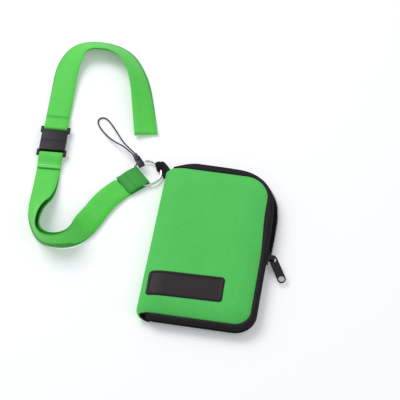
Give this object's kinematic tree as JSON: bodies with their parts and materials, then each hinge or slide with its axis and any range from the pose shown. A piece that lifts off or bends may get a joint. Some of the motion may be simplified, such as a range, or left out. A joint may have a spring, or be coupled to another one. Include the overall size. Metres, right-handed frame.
{
  "type": "lanyard zip pouch",
  "caption": "Flat zip pouch with a hinged front panel, worn on a webbing neck lanyard with a breakaway buckle, split ring and phone string.",
  "frame": {"origin": "middle of the pouch's back face, which lies on the table", "axes": "+Z out of the front panel, +Y towards the pouch's top edge and its split ring, +X towards the zipped long side"},
  "size_m": [0.2302, 0.2872, 0.0182],
  "materials": {
    "neoprene": "matte knit over foam",
    "binding": "matte woven tape",
    "zip_tape": "matte woven tape",
    "zip_coil": "satin nylon",
    "zip_stop": "satin black",
    "slider": "satin black enamel",
    "pull_tab": "satin black enamel",
    "patch": "matte",
    "tab_webbing": "matte woven",
    "ring": "polished",
    "webbing": "satin woven",
    "buckle": "fine texture",
    "string_plastic": "satin",
    "string_cord": "braided"
  },
  "bodies": {
    "back_shell": {"back_panel": "neoprene", "spine": "neoprene", "back_binding": "binding", "back_zip_tape": "zip_tape", "back_zip_coil": "zip_coil", "back_top_stop": "zip_stop", "end_stop": "zip_stop", "corner_tab_loop": "tab_webbing"},
    "front_shell": {"front_panel": "neoprene", "front_binding": "binding", "front_zip_tape": "zip_tape", "front_zip_coil": "zip_coil", "front_top_stop": "zip_stop", "label_patch": "patch"},
    "slider": {"slider": "slider"},
    "pull_tab": {"pull_tab": "pull_tab"},
    "ring": {"split_ring": "ring"},
    "lanyard": {"ring_end_loop": "webbing", "near_strap": "webbing", "near_buckle_loop": "webbing", "buckle_socket": "buckle", "far_strap": "webbing", "under_strap": "webbing", "strap_fold": "webbing"},
    "plug": {"buckle_plug": "buckle", "far_buckle_loop": "webbing"},
    "string_base": {"string_socket": "string_plastic", "string_tie": "string_cord"},
    "string_loop": {"string_plug": "string_plastic", "string_crimp": "string_plastic", "string_cord": "string_cord"}
  },
  "joints": [
    {"name": "front_open", "type": "hinge", "parent": "back_shell", "child": "front_shell", "pos_m": [-0.04415, 0, 0.0166], "axis": [0, -1, 0], "range_deg": [0, 130]},
    {"name": "slider_travel", "type": "slide", "parent": "back_shell", "child": "slider", "axis": [0, 1, 0], "range_m": [-0.049, 0.0565]},
    {"name": "pull_swing", "type": "hinge", "parent": "slider", "child": "pull_tab", "pos_m": [0.05195, -0.0036, 0.0077], "axis": [0, 0, 1], "range_deg": [-3, 121]},
    {"name": "ring_swing", "type": "hinge", "parent": "back_shell", "child": "ring", "pos_m": [-0.05261, 0.06971, 0.00275], "axis": [0, 0, 1], "range_deg": [-6, 6]},
    {"name": "lanyard_swing", "type": "hinge", "parent": "ring", "child": "lanyard", "pos_m": [-0.065, 0.0685, 0.00275], "axis": [0, 0, 1], "range_deg": [-10, 10]},
    {"name": "buckle_release", "type": "slide", "parent": "lanyard", "child": "plug", "axis": [-0.061, 0.9981, 0], "range_m": [0, 0.012], "deforming": ["far_strap"]},
    {"name": "string_swing", "type": "hinge", "parent": "ring", "child": "string_base", "pos_m": [-0.065, 0.0685, 0.00275], "axis": [0, 0, 1], "range_deg": [-12, 6]},
    {"name": "string_release", "type": "slide", "parent": "string_base", "child": "string_loop", "axis": [-0.6157, 0.788, 0], "range_m": [0, 0.007]}
  ]
}
